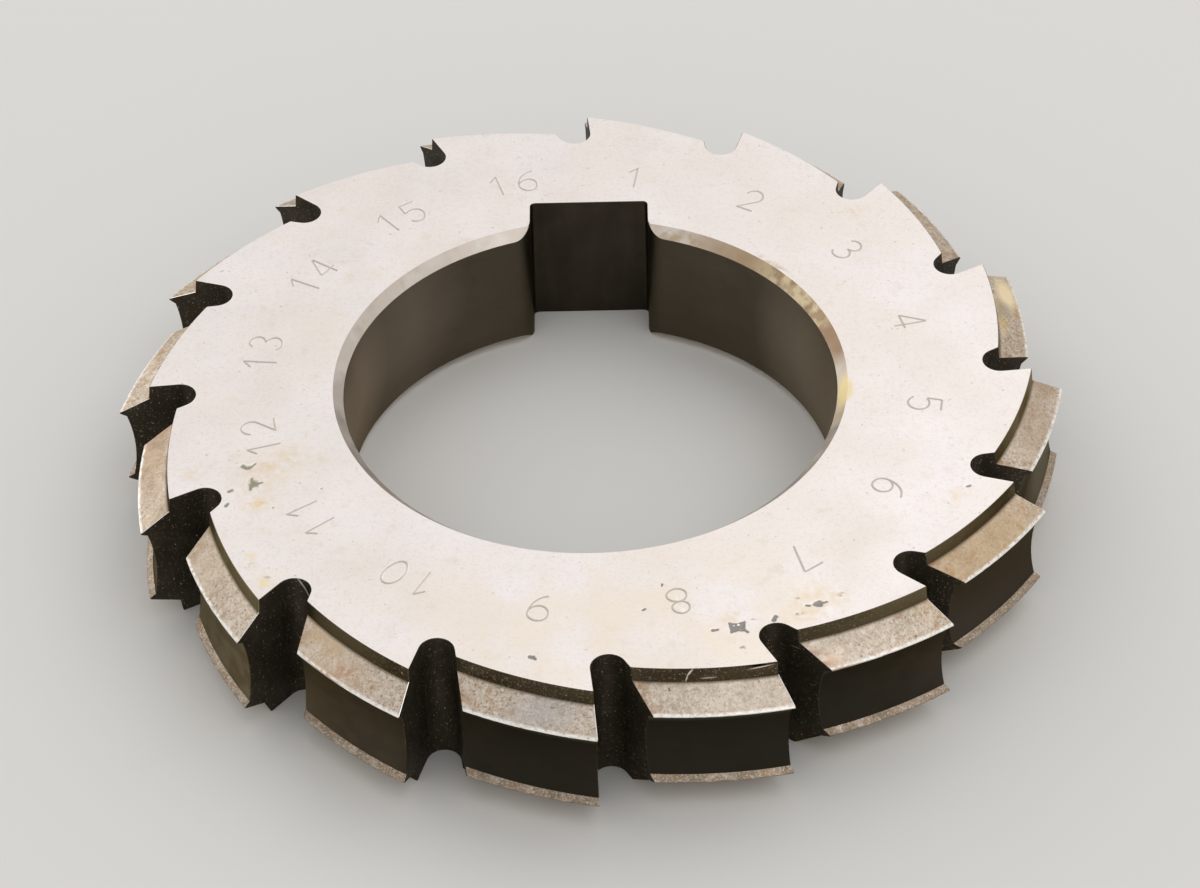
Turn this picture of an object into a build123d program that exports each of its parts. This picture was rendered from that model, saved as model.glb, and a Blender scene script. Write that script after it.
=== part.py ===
# Spline milling cutter: a thin form-relieved cutter, ground from one piece of tool steel.
# It lies on its side face, with the bore axis along Z, its lower side face at Z = 0
# and the keyway opening towards +Y. Sizes are in millimetres and angles in degrees.
import os
from math import atan2, cos, hypot, radians, sin, tan

from build123d import *

# Disc
width = 12.0
bore_diameter = 40.0
bore_chamfer = 0.8
keyway_width = 10.0
keyway_floor = 23.3         # from the bore axis
keyway_corner = 0.4
keyway_mouth = 2.0          # rounding where the keyway sides meet the bore

# Teeth, which cut anticlockwise seen from above
tooth_count = 16
tip_radius = 38.35          # to the horn tips on the cutting edge
tooth_direction = 90.5      # of the first tooth's tips, seen from the bore axis
relief_drop = 3.1           # fall of the radius along one tooth pitch, for clearance

# Cutting profile, from the side face to the middle of the tooth
shoulder_radius = 35.75     # where the side face ends on the cutting edge
shoulder_flare = 0.13       # the shoulder wall leans out by this much
flank_angle = 27.0          # from the radial direction
horn_spacing = 6.95         # between the tips of the two horns
horn_land = 0.12            # worn flat along each horn tip
horn_height = 0.52          # above the end of the hollow between the horns
horn_lean = 0.30            # inner side of a horn, along the width
core_radius = 13.125        # of the shaft core that the hollow between the horns forms

# Gashes between the teeth
rake_angle = 5.0
gash_angle = 25.0           # between the rake face and the heel of the next tooth
gash_depth = 6.4            # along the rake face, from the tips
gash_root_radius = 1.35
gash_overrun = 5.0          # of the cut past the tips

# Disc under the teeth, lower than any tooth's side face and higher than the gash roots
disc_radius = 33.0
tooth_root_radius = 32.0
tooth_lead = 1.5            # each tooth starts this far ahead of its rake face

tooth_pitch = 360 / tooth_count
half_width = width / 2

# Every point of the cutting edge turns about a relief axis, which stands beside the bore
# axis, so the tooth grows lower behind the edge and keeps its profile when it is reground.
relief_offset = relief_drop / radians(tooth_pitch)


def from_relief_axis(radius):
    # Distance from the relief axis of an edge point at this distance from the bore axis.
    return hypot(radius, relief_offset)


shoulder = from_relief_axis(shoulder_radius)
flank_foot = shoulder + shoulder_flare
tip = from_relief_axis(tip_radius)
hollow_end = tip - horn_height
horn_outer = horn_spacing / 2 + horn_land / 2
horn_inner = horn_spacing / 2 - horn_land / 2
flank_foot_height = horn_outer + (tip - flank_foot) * tan(radians(flank_angle))
hollow_end_height = horn_inner - horn_lean

# The section plane holds the relief axis and stands just ahead of the rake face.
section_angle = radians(tooth_lead) - atan2(relief_offset, tip_radius)
section_plane = Plane(
    origin=(0, relief_offset, half_width),
    x_dir=(cos(section_angle), sin(section_angle), 0),
    z_dir=(sin(section_angle), -cos(section_angle), 0),
)
relief_axis = Axis((0, relief_offset, 0), (0, 0, 1))

# One tooth with its tips on +X: the relieved profile turned back over one pitch
with BuildPart() as tooth:
    with BuildSketch(section_plane):
        with BuildLine():
            side = Polyline(
                (from_relief_axis(tooth_root_radius), 0),
                (from_relief_axis(tooth_root_radius), half_width),
                (shoulder, half_width),
                (flank_foot, flank_foot_height),
                (tip, horn_outer),
                (tip, horn_inner),
                (hollow_end, hollow_end_height),
            )
            mirror(side, about=Plane.XZ)
            RadiusArc(side @ 1, (hollow_end, -hollow_end_height), -core_radius)
        make_face()
    revolve(axis=relief_axis, revolution_arc=-tooth_pitch)

# One gash, ahead of a tooth with its tips on +X. Its plan has the rake face along X.
rake_plane = Plane(
    origin=(tip_radius, 0, 0),
    x_dir=(cos(radians(rake_angle)), sin(radians(rake_angle)), 0),
    z_dir=(0, 0, 1),
)
gash_apex = gash_root_radius - gash_depth - gash_root_radius / tan(radians(gash_angle / 2))
gash_mouth = (gash_overrun - gash_apex) * tan(radians(gash_angle))

with BuildPart() as gash:
    with BuildSketch(rake_plane) as gash_plan:
        with BuildLine():
            Polyline(
                (gash_apex, 0),
                (gash_overrun, 0),
                (gash_overrun, gash_mouth),
                close=True,
            )
        make_face()
        fillet(gash_plan.vertices().sort_by(Axis.X)[0], gash_root_radius)
    extrude(amount=width)

# The cutter: disc, teeth, gashes, bore and keyway
with BuildPart() as spline_cutter:
    with BuildSketch():
        Circle(disc_radius)
    extrude(amount=width)
    with PolarLocations(0, tooth_count, start_angle=tooth_direction):
        add(tooth.part)
    with PolarLocations(0, tooth_count, start_angle=tooth_direction):
        add(gash.part, mode=Mode.SUBTRACT)
    with BuildSketch() as bore_plan:
        Circle(bore_diameter / 2)
        Rectangle(keyway_width, keyway_floor, align=(Align.CENTER, Align.MIN))
        fillet(bore_plan.vertices().group_by(Axis.Y)[-2], keyway_mouth)
        fillet(bore_plan.vertices().group_by(Axis.Y)[-1], keyway_corner)
    extrude(amount=width, mode=Mode.SUBTRACT)
    # The chamfers are turned, so they fade out on the rounded mouth of the keyway.
    lower_end = Location((0, 0, bore_chamfer / 2))
    upper_end = Location((0, 0, width - bore_chamfer / 2), (180, 0, 0))
    with Locations(lower_end, upper_end):
        Cone(bore_diameter / 2 + bore_chamfer, bore_diameter / 2, bore_chamfer, mode=Mode.SUBTRACT)

spline_cutter.part.label = "spline_cutter"

os.makedirs("parts", exist_ok=True)
export_step(spline_cutter.part, "parts/spline_cutter.step")

print("spline cutter, volume", round(spline_cutter.part.volume), "cubic mm")
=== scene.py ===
from math import atan2, cos, exp, hypot, pi, radians, sin, sqrt, tan

import bmesh
import bpy
from mathutils import Matrix, Vector, noise
from mathutils.geometry import delaunay_2d_cdt
from mathutils.kdtree import KDTree


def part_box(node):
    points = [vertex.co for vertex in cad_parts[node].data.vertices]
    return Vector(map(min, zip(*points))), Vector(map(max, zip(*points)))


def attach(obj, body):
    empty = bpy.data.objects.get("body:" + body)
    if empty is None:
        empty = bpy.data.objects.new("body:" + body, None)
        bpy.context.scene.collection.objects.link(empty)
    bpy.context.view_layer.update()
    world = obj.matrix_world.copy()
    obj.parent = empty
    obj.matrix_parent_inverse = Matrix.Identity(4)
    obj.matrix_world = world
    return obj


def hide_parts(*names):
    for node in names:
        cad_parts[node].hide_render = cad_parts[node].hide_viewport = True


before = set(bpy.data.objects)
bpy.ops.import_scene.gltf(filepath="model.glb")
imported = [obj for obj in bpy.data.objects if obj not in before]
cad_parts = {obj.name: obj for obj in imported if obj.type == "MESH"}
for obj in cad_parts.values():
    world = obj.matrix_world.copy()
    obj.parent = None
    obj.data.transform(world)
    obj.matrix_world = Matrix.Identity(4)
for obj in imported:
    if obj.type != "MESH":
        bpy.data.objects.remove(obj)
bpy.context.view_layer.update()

scene = bpy.context.scene
mm = 0.001
nodeLow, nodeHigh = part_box("spline_cutter")
cutterWidth = (nodeHigh[2] - nodeLow[2]) / mm
print("frame loaded, cutter width in mm:", round(cutterWidth, 2))

# the camera as fitted to the photo: place and lens in mm, angles in degrees
photoCamera = {
    "place": (2.93, -220.35, 197.96),
    "azimuth": 0.59,
    "elevation": 41.23,
    "roll": -1.53,
    "lens": 106.96,
    "clip": (0.01, 10),     # m
}


def placeCamera(c):
    data = bpy.data.cameras.new("photo_camera")
    data.lens = c["lens"]
    data.clip_start, data.clip_end = c["clip"]
    camera = bpy.data.objects.new("photo_camera", data)
    camera.matrix_world = (
        Matrix.Translation(Vector(c["place"]) * mm)
        @ Matrix.Rotation(radians(c["azimuth"]), 4, "Z")
        @ Matrix.Rotation(radians(90 - c["elevation"]), 4, "X")
        @ Matrix.Rotation(radians(c["roll"]), 4, "Z")
    )
    scene.collection.objects.link(camera)
    scene.camera = camera


placeCamera(photoCamera)
print("camera placed")


def srgb(code):  # a hex colour as the linear values that sockets take
    parts = [int(code[k:k + 2], 16) / 255 for k in (1, 3, 5)]
    return [v / 12.92 if v <= 0.04045 else ((v + 0.055) / 1.055) ** 2.4 for v in parts] + [1]


def node(tree, kind, inputs=None, **settings):  # inputs: values or the sockets they come from
    made = tree.nodes.new(kind)
    for name, value in settings.items():
        setattr(made, name, value)
    for name, value in (inputs or {}).items():
        if isinstance(value, bpy.types.NodeSocket):
            tree.links.new(value, made.inputs[name])
        else:
            made.inputs[name].default_value = value
    return made


# how the patterns of the finishes are read from noise: where they start and are whole, and
# seeds that keep the uses apart
patterns = {
    "spotWhole": 0.6,       # from a spot's rim, at 0, to its middle, at 1
    "spotPatches": (0.42, 0.56),
    "roughPatches": (0.35, 0.65),
    "roughDetail": 2.0,
    "fineDetail": 3.0,
    "markSeed": 20,
    "roughSeed": 30,
    "reliefSeed": 40,
    "spotSeed": 60,
}


# spots, patches or lines of tone: grain is a size in mm, or three sizes where they are drawn out
def grainMask(tree, place, grain, low, high, strength, detail, seed):
    sizes = grain if isinstance(grain, tuple) else (grain, grain, grain)
    stretch = {"Vector": place, "Scale": [1 / (size * mm) for size in sizes]}
    spread = node(tree, "ShaderNodeMapping", stretch)
    spots = node(
        tree,
        "ShaderNodeTexNoise",
        {"Vector": spread.outputs[0], "W": seed, "Scale": 1.0, "Detail": detail},
        noise_dimensions="4D",
    )
    reach = {"Value": spots.outputs[0], "From Min": low, "From Max": high, "To Max": strength}
    return node(tree, "ShaderNodeMapRange", reach).outputs[0]


# one place in mm that has its own tone: a soft ellipsoid of this size, turned, and broken by its grain
def spotMask(tree, place, middle, size, turn, strength, grain=None):
    own = {
        "Vector": place,
        "Location": [v * mm for v in middle],
        "Rotation": [radians(v) for v in turn],
        "Scale": [v * mm for v in size],
    }
    local = node(tree, "ShaderNodeMapping", own, vector_type="TEXTURE")
    ball = node(tree, "ShaderNodeTexGradient", {"Vector": local.outputs[0]}, gradient_type="SPHERICAL")
    reach = {"Value": ball.outputs["Fac"], "From Max": patterns["spotWhole"], "To Max": strength}
    mask = node(tree, "ShaderNodeMapRange", reach).outputs[0]
    if grain:
        settings = (1.0, patterns["fineDetail"], patterns["spotSeed"])
        patches = grainMask(tree, place, grain, *patterns["spotPatches"], *settings)
        mask = node(tree, "ShaderNodeMath", {0: mask, 1: patches}, operation="MULTIPLY").outputs[0]
    return mask


# the steel of the whole cutter; a look says how one surface was made and how it has aged
def steelFinish(look):
    material = bpy.data.materials.new(look["name"])
    material.use_nodes = True
    tree = material.node_tree
    tree.nodes.clear()
    place = node(tree, "ShaderNodeTexCoord").outputs["Object"]
    colour = srgb(look["colour"])
    for k, tone in enumerate(look["tones"]):
        mask = grainMask(tree, place, *tone[1:], seed=k)
        blend = {0: mask, 6: colour, 7: srgb(tone[0])}
        colour = node(tree, "ShaderNodeMix", blend, data_type="RGBA").outputs[2]
    for spot in look.get("spots", []):
        blend = {0: spotMask(tree, place, *spot[1:]), 6: colour, 7: srgb(spot[0])}
        colour = node(tree, "ShaderNodeMix", blend, data_type="RGBA").outputs[2]
    for key, code, low, high, strength in look.get("marks", []):
        mark = node(tree, "ShaderNodeAttribute", attribute_name=key).outputs["Fac"]
        reach = {"Value": mark, "From Min": low, "From Max": high, "To Max": strength}
        mask = node(tree, "ShaderNodeMapRange", reach).outputs[0]
        if key in look.get("broken", {}):  # such a mark is patchy
            patches = grainMask(tree, place, *look["broken"][key], seed=patterns["markSeed"])
            mask = node(tree, "ShaderNodeMath", {0: mask, 1: patches}, operation="MULTIPLY").outputs[0]
        blend = {0: mask, 6: colour, 7: srgb(code)}
        colour = node(tree, "ShaderNodeMix", blend, data_type="RGBA").outputs[2]
    smooth, rough, patch = look["roughness"]
    settings = (rough - smooth, patterns["roughDetail"], patterns["roughSeed"])
    change = grainMask(tree, place, patch, *patterns["roughPatches"], *settings)
    roughness = node(tree, "ShaderNodeMath", {0: change, 1: smooth}, operation="ADD").outputs[0]
    height = None
    for k, (grain, depth) in enumerate(look["grains"]):
        settings = (depth, patterns["fineDetail"], patterns["reliefSeed"] + k)
        relief = grainMask(tree, place, grain, 0.0, 1.0, *settings)
        if height:
            relief = node(tree, "ShaderNodeMath", {0: height, 1: relief}, operation="ADD").outputs[0]
        height = relief
    bump = node(tree, "ShaderNodeBump", {"Height": height, "Distance": mm})  # heights are in mm
    steel = {
        "Base Color": colour,
        "Metallic": look.get("metallic", 1.0),
        "Roughness": roughness,
        "Specular Tint": srgb(look.get("edgeTint", "#ffffff")),
        "Normal": bump.outputs[0],
    }
    shader = node(tree, "ShaderNodeBsdfPrincipled", steel)
    node(tree, "ShaderNodeOutputMaterial", {"Surface": shader.outputs[0]})
    return material


# tones: colour, grain in mm, where it starts and is whole in the noise, strength, detail
# spots: colour, place and size in mm, turn in degrees, strength, grain that breaks it
# marks: attribute of the mesh, colour, where it starts and is whole, strength
# broken: patches of a mark, written as a tone without its colour
# roughness: least, most, patch in mm; grains: size and depth of the relief in mm
# Grinding lines, grit and dust are finer on real steel, and are drawn as coarse as they need to show.
finishLooks = {
    "groundFace": {  # surface-ground side face: pale and satin, lightly stained, small rust dots
        "name": "surface_ground_tool_steel",
        "colour": "#f0e7e1",
        "tones": [
            ("#f4edec", (11.0, 11.0, 11.0), 0.42, 0.62, 0.8, 2.0),
            ("#ebe2d9", (6.0, 6.0, 6.0), 0.50, 0.72, 0.7, 3.0),
            ("#e2d9ce", (0.22, 6.0, 1.0), 0.54, 0.70, 0.14, 2.0),
            ("#e2d9ce", (5.0, 0.25, 1.0), 0.54, 0.70, 0.14, 2.0),
            ("#dfd3bf", (1.4, 1.4, 1.4), 0.60, 0.76, 0.5, 4.0),
            ("#ddd2c5", (0.22, 0.22, 0.22), 0.50, 0.70, 0.4, 2.0),
            ("#a89a89", (0.35, 0.35, 0.35), 0.71, 0.77, 0.45, 1.0),
        ],
        "marks": [
            ("tarnish", "#e3cda4", 0.05, 0.75, 0.5),
            ("stroke", "#a79c91", 0.02, 0.5, 0.65),
            ("pit", "#8a8683", 0.2, 0.55, 0.95),
            ("moss", "#969480", 0.1, 0.75, 0.95),
        ],
        "broken": {"tarnish": (0.8, 0.38, 0.62, 1.0, 5.0)},
        "spots": [
            ("#efe1cd", (4.0, -29.0, 12), (24, 11, 3), (0, 0, 0), 0.5, 5.0),
            ("#efc975", (-25.8, -14.35, 12), (0.6, 0.4, 2), (0, 0, 20), 0.75, 0.5),
            ("#eccb86", (-26.7, -14.5, 12), (0.35, 0.3, 2), (0, 0, 0), 0.6, 0.4),
            ("#e9cbb0", (-25.6, -10.2, 12), (1.3, 0.8, 2), (0, 0, 30), 0.45, 0.7),
            ("#b08a62", (18.8, -25.9, 12), (0.45, 0.3, 2), (0, 0, 20), 0.9, 0.3),
            ("#9a9684", (11.2, -31.4, 12), (0.35, 0.25, 2), (0, 0, 0), 0.8, 0.3),
            ("#a09c8c", (15.5, -26.2, 12), (0.25, 0.2, 2), (0, 0, 0), 0.8, 0.3),
            ("#8f8b76", (15.6, -27.9, 12), (0.6, 0.2, 2), (0, 0, 15), 0.8, 0.25),
            ("#a59a88", (12.0, -28.4, 12), (0.5, 0.12, 2), (0, 0, -10), 0.7, 0.3),
            ("#ead7a6", (20.8, -2.1, 12), (0.45, 1.6, 2), (0, 0, -6), 0.8),
            ("#f7e5b4", (-24.95, -23.4, 12), (0.5, 0.5, 2), (0, 0, 30), 0.75),
            ("#efdcb8", (-26.1, -20.6, 12), (0.7, 0.9, 2), (0, 0, 20), 0.6, 0.9),
            ("#a3a08c", (-26.0, -21.4, 12), (0.3, 0.35, 2), (0, 0, 0), 0.6, 0.3),
            ("#a9a898", (-24.7, -22.8, 12), (0.35, 0.2, 2), (0, 0, 0), 0.6),
            ("#cdb596", (15.4, 14.3, 12), (2.4, 0.5, 2), (0, 0, -47), 0.6, 0.8),
        ],
        "roughness": (0.36, 0.46, 6.0),
        "grains": [((0.22, 9.0, 1.0), 0.0010), (0.3, 0.0008)],
    },
    "turnedShoulder": {  # form-turned wall under the face: dark with old oil, metal dust in it
        "name": "form_turned_oiled_tool_steel",
        "colour": "#524838",
        "tones": [
            ("#655a48", (6.0, 6.0, 0.12), 0.45, 0.75, 0.7, 2.0),
            ("#3a3327", (4.0, 4.0, 1.6), 0.45, 0.66, 0.7, 3.0),
            ("#857a64", (0.20, 0.20, 0.20), 0.54, 0.68, 0.6, 2.0),
            ("#d9d1c1", (0.13, 0.13, 0.13), 0.68, 0.74, 0.8, 1.0),
        ],
        "spots": [
            ("#7f7459", (25.5, -22.5, 11), (14.0, 12.0, 6.0), (0, 0, 0), 0.62),
            ("#736a52", (-20.3, -27.4, 11), (7.0, 3.0, 6.0), (0, 0, -44), 0.7),
            ("#9d9376", (-27.6, -20.9, 11), (9.5, 3.0, 4.0), (0, 0, -65), 0.9),
            ("#aea284", (35.2, 0.0, 11), (5.0, 18.0, 4.0), (0, 0, 0), 0.9),
            ("#f1eee6", (7.2, -33.6, 11.65), (0.10, 0.6, 0.5), (0, 34, 12), 1.0),
            ("#e4e0d6", (6.9, -33.4, 11.1), (0.09, 0.6, 0.5), (0, 16, 12), 1.0),
            ("#cfcabd", (6.75, -33.3, 10.5), (0.08, 0.6, 0.4), (0, 4, 12), 1.0),
            # a fibre on the wall, drawn as a painted glint
            ("#cdc8ba", (8.6, -33.5, 11.1), (0.8, 0.5, 0.10), (0, -2, 12), 0.9),
            # a burr at the upper edge: painted shadow under it and a painted highlight on it
            ("#15130d", (12.2, -33.2, 11.9), (1.2, 0.5, 0.16), (0, 3, 20), 1.0),
            ("#efece4", (12.5, -33.1, 11.72), (1.3, 0.5, 0.07), (0, -6, 20), 1.0),
        ],
        "edgeTint": "#8a8272",
        "roughness": (0.34, 0.50, 3.0),
        "grains": [((8.0, 8.0, 0.14), 0.004), (0.22, 0.004)],
    },
    "relievedFlank": {  # relief-ground flank: sandy grain, brown freckles, tinted by heat at the heel, with painted shade at its foot by the shoulder
        "name": "relief_ground_tool_steel",
        "colour": "#cabaa8",
        "tones": [
            ("#b3a38e", (3.0, 3.0, 3.0), 0.45, 0.64, 0.7, 3.0),
            ("#f0e8dd", (0.40, 0.40, 0.40), 0.49, 0.62, 0.4, 4.0),
            ("#9d8263", (0.48, 0.48, 0.48), 0.53, 0.66, 0.55, 4.0),
            ("#e2d8ce", (0.17, 0.17, 0.17), 0.50, 0.64, 0.65, 2.0),
            ("#877460", (0.20, 0.20, 0.20), 0.54, 0.68, 0.7, 2.0),
            ("#ac8760", (0.8, 0.8, 1.6), 0.56, 0.70, 0.6, 3.0),
            ("#57432f", (0.32, 0.32, 0.32), 0.65, 0.72, 0.8, 2.0),
        ],
        "marks": [
            # foot: painted shade on the flank in the corner under the shoulder
            ("foot", "#665b49", 0.0, 0.9, 0.9),
            ("along", "#a57b56", 0.86, 1.0, 0.55),
            ("wear", "#fbf7f2", 0.15, 0.7, 0.95),
        ],
        "broken": {
            "along": (0.6, 0.44, 0.60, 1.0, 3.0),
            "wear": (0.40, 0.30, 0.58, 1.0, 2.0),
        },
        "spots": [
            ("#dccfc0", (14.5, -32.5, 10.0), (13.0, 9.0, 6.0), (0, 0, 0), 0.35),
            ("#ddcbb4", (-21.0, -29.0, 10.0), (7.0, 6.0, 4.0), (0, 0, 0), 0.4),
            ("#b5a48f", (-31.5, -17.0, 10.0), (8.0, 11.0, 6.0), (0, 0, 0), 0.5),
            ("#bebcbd", (-2.8, -35.2, 9.0), (5.0, 2.6, 2.2), (0, 0, 4), 0.8),
            ("#a8917a", (-35.4, -5.4, 9.9), (3.0, 7.0, 3.0), (0, 0, 0), 0.7),
            ("#b09a82", (35.4, -4.5, 10.2), (3.0, 6.0, 3.0), (0, 0, 0), 0.5),
            ("#bea27c", (29.5, -19.0, 10.2), (10.0, 10.0, 6.0), (0, 0, 0), 0.65),
            ("#c9ac84", (-20.8, -28.8, 10.1), (4.0, 3.2, 3.0), (0, 0, 0), 0.5, 1.5),
            ("#bf9474", (-18.8, -31.2, 9.8), (2.6, 1.6, 1.0), (0, 0, 0), 0.6, 0.7),
            ("#e6cdb5", (17.9, -31.0, 9.8), (1.2, 0.9, 1.0), (0, 0, 0), 0.6),
            ("#b08d74", (26.6, -24.8, 9.8), (1.0, 1.0, 2.0), (0, 0, 0), 0.6),
            ("#f6e3bf", (34.8, 12.0, 10.0), (1.2, 2.8, 1.2), (0, 0, 4), 1.0),
            ("#e0c48a", (34.0, 8.6, 10.7), (0.9, 3.4, 0.9), (0, 0, 4), 0.6, 1.2),
            ("#c69a5e", (35.6, 9.9, 9.5), (0.9, 1.4, 1.0), (0, 0, 10), 0.45, 0.8),
            ("#b0a68e", (34.4, 9.7, 10.4), (1.3, 1.5, 1.0), (0, 0, 0), 0.6),
            ("#a98e70", (36.6, 0.3, 10.1), (1.4, 2.4, 1.2), (0, 0, 0), 0.6),
        ],
        "edgeTint": "#e6dccf",
        "roughness": (0.38, 0.54, 1.5),
        "grains": [(0.17, 0.008), (0.6, 0.006)],
    },
    "hornEdge": {  # horn worn bright by the cut, with dull nicks and one patch of painted shade
        "name": "edge_worn_tool_steel",
        "colour": "#fcf8f2",
        "tones": [
            ("#cfc4b4", (0.45, 0.45, 0.45), 0.52, 0.70, 0.6, 3.0),
            ("#7f6f60", (0.20, 0.20, 0.20), 0.64, 0.72, 0.8, 2.0),
        ],
        "spots": [
            ("#b39a80", (-20.0, -30.6, 9.5), (2.6, 2.6, 2.0), (0, 0, 0), 0.8),
            # painted shade on the left end of a horn
            ("#a98c6e", (18.0, -31.5, 9.5), (3.0, 1.2, 1.5), (0, 0, 30), 0.85),
        ],
        "roughness": (0.18, 0.34, 0.5),
        "grains": [(0.15, 0.004), (0.5, 0.006)],
    },
    "hornInside": {  # inner side of a horn: pinkish brown, coarsely speckled
        "name": "dull_relief_ground_tool_steel",
        "colour": "#9a8874",
        "tones": [
            ("#7f7764", (3.0, 3.0, 3.0), 0.45, 0.60, 0.6, 2.0),
            ("#cdbeb0", (0.9, 0.9, 0.9), 0.50, 0.66, 0.45, 3.0),
            ("#dccfc2", (0.15, 0.15, 0.15), 0.50, 0.66, 0.65, 2.0),
            ("#5c4e3f", (0.15, 0.15, 0.15), 0.52, 0.68, 0.6, 2.0),
            ("#a07a55", (0.7, 0.7, 0.7), 0.56, 0.66, 0.4, 2.0),
        ],
        "roughness": (0.34, 0.52, 0.8),
        "grains": [(0.2, 0.006)],
    },
    "toothHollow": {  # form-ground hollow: smooth, dark with baked oil and darker still as a painted dark reflection, browner towards one end
        "name": "form_ground_oil_dark_painted_reflection_tool_steel",
        "colour": "#464138",
        "tones": [
            ("#554a3a", (5.0, 5.0, 3.0), 0.42, 0.66, 0.8, 3.0),
            ("#37332b", (2.0, 2.0, 1.5), 0.50, 0.72, 0.6, 3.0),
            ("#6d6454", (0.14, 0.14, 0.14), 0.69, 0.76, 0.6, 1.0),
        ],
        "spots": [
            # these spots, but for the grained brown one, are painted light and shade that make the
            # hollows lighter or darker tooth by tooth round the rim; the thin band under the front
            # horns is a painted reflection
            ("#2f2c26", (8.0, -42.0, 6.0), (45.0, 28.0, 30.0), (0, 0, 0), 0.85),
            ("#877c66", (-30.0, -22.5, 5.0), (14.0, 12.0, 12.0), (0, 0, -45), 0.95),
            ("#544c41", (-17.5, -31.5, 5.0), (8.0, 7.0, 12.0), (0, 0, 0), 0.7),
            ("#635641", (-26.0, -27.0, 5.0), (16.0, 14.0, 12.0), (0, 0, 0), 0.5, (2.0, 2.0, 1.2)),
            ("#4f4841", (31.5, -18.0, 5.0), (13.0, 13.0, 12.0), (0, 0, 0), 0.85),
            ("#64665a", (4.0, -38.0, 9.4), (34.0, 16.0, 1.0), (0, 0, 0), 0.75),
            ("#837d6d", (36.6, -3.4, 4.3), (3.4, 6.4, 4.5), (0, 0, 0), 0.9),
        ],
        "edgeTint": "#b6b1a5",
        "roughness": (0.36, 0.48, 4.0),
        "grains": [((7.0, 7.0, 0.25), 0.0015), (0.3, 0.0015)],
    },
    "gashWall": {  # milled gash, black with oil and soot and with painted shade of the recess, bright metal dust in it
        "name": "milled_oil_black_painted_shade_tool_steel",
        "colour": "#3d372c",
        "tones": [
            ("#4d453a", (2.2, 2.2, 2.2), 0.45, 0.70, 0.8, 3.0),
            ("#7a6f5d", (0.22, 0.22, 0.22), 0.58, 0.70, 0.65, 2.0),
            ("#e6e1d6", (0.13, 0.13, 0.13), 0.705, 0.745, 1.0, 1.0),
        ],
        "spots": [
            # a hair in the gash, drawn as its painted glint
            ("#b5b0a4", (15.2, -29.55, 10.15), (0.75, 0.5, 0.05), (0, -8, 0), 0.9, 0.5),
            ("#a9a498", (15.4, -29.7, 9.85), (0.4, 0.5, 0.045), (0, -20, 0), 0.8, 0.5),
            # a painted highlight along a crease in the root of a gash
            ("#e4e1d8", (-21.92, -23.24, 11.2), (1.25, 0.13, 0.13), (0, 57, -34), 0.9),
        ],
        "edgeTint": "#5a5345",
        "metallic": 0.55,
        "roughness": (0.42, 0.58, 1.2),
        "grains": [((0.9, 0.9, 0.9), 0.010), (0.2, 0.005)],
    },
    "boreWall": {  # ground bore: grey-brown with old oil, faint rings round it
        "name": "bore_ground_tool_steel",
        "colour": "#625a4e",
        "tones": [
            ("#70685b", (9.0, 9.0, 6.0), 0.42, 0.64, 0.8, 3.0),
            ("#504a40", (10.0, 10.0, 0.5), 0.48, 0.76, 0.25, 2.0),
            ("#4c4538", (1.2, 1.2, 1.2), 0.56, 0.72, 0.25, 3.0),
        ],
        "spots": [
            # painted shade darkens the wall near the keyway; painted light makes it lighter at the left
            # and at the right
            ("#534c3f", (3.0, 22.0, 6.0), (25.0, 12.0, 20.0), (0, 0, 0), 0.8),
            ("#857a6d", (-17.5, 10.5, 8.0), (9.0, 11.0, 9.0), (0, 0, 0), 0.85),
            ("#b3a392", (-19.8, 2.6, 7.0), (4.0, 11.0, 9.0), (0, 0, 0), 0.6),
            ("#9a8f80", (19.0, 5.5, 6.0), (8.0, 12.0, 10.0), (0, 0, 0), 0.85),
        ],
        "edgeTint": "#cfc7ba",
        "roughness": (0.34, 0.44, 5.0),
        "grains": [((9.0, 9.0, 0.4), 0.0008), (0.4, 0.001)],
    },
    "boreChamfer": {  # turned chamfer: tan-grey, with dried grease and rust in places and a painted highlight at its right
        "name": "turned_greasy_tool_steel",
        "colour": "#d5c9bd",
        "tones": [
            ("#e2d9d1", (4.0, 4.0, 2.0), 0.45, 0.62, 0.7, 2.0),
            ("#bcac9d", (1.6, 1.6, 1.6), 0.50, 0.72, 0.5, 3.0),
        ],
        "spots": [
            ("#ad926a", (16.8, 11.2, 11.5), (6.0, 12.5, 3.0), (0, 0, 35), 0.8),
            ("#97775a", (15.8, 12.6, 11.4), (5.0, 10.0, 3.0), (0, 0, 38), 0.4, 1.6),
            ("#f4e4bd", (17.6, 9.8, 11.6), (4.0, 8.0, 3.0), (0, 0, 31), 0.6, 1.1),
            ("#9c7c62", (20.2, 4.6, 11.5), (1.6, 3.6, 3.0), (0, 0, 12), 0.8),
            # pale yellow at the right: dried grease and a painted highlight
            ("#fbe7b2", (20.6, -2.0, 11.5), (1.4, 2.8, 2.5), (0, 0, -5), 1.0),
            ("#dcc48e", (20.1, -5.4, 11.5), (1.2, 2.2, 2.5), (0, 0, -12), 0.7, 0.9),
            ("#b89f7e", (7.6, 18.9, 11.4), (3.2, 1.3, 1.2), (0, 0, -22), 0.75, 1.2),
            ("#b59d80", (12.4, 16.2, 11.5), (4.0, 1.6, 2.0), (0, 0, -38), 0.6),
        ],
        "roughness": (0.38, 0.52, 2.5),
        "grains": [(0.4, 0.003)],
    },
    "keywayWall": {  # broached keyway: dark brown, drawn lines along its length
        "name": "broached_tool_steel",
        "colour": "#453e35",
        "tones": [
            ("#534b40", (0.9, 0.9, 9.0), 0.46, 0.74, 0.35, 2.0),
            ("#38322a", (3.0, 3.0, 4.0), 0.45, 0.70, 0.6, 3.0),
        ],
        "edgeTint": "#a89f90",
        "roughness": (0.34, 0.48, 2.0),
        "grains": [((0.4, 0.4, 9.0), 0.003), (0.4, 0.002)],
    },
}
finishMaterials = {key: steelFinish(look) for key, look in finishLooks.items()}
print("steel finishes made:", len(finishMaterials))

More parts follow.
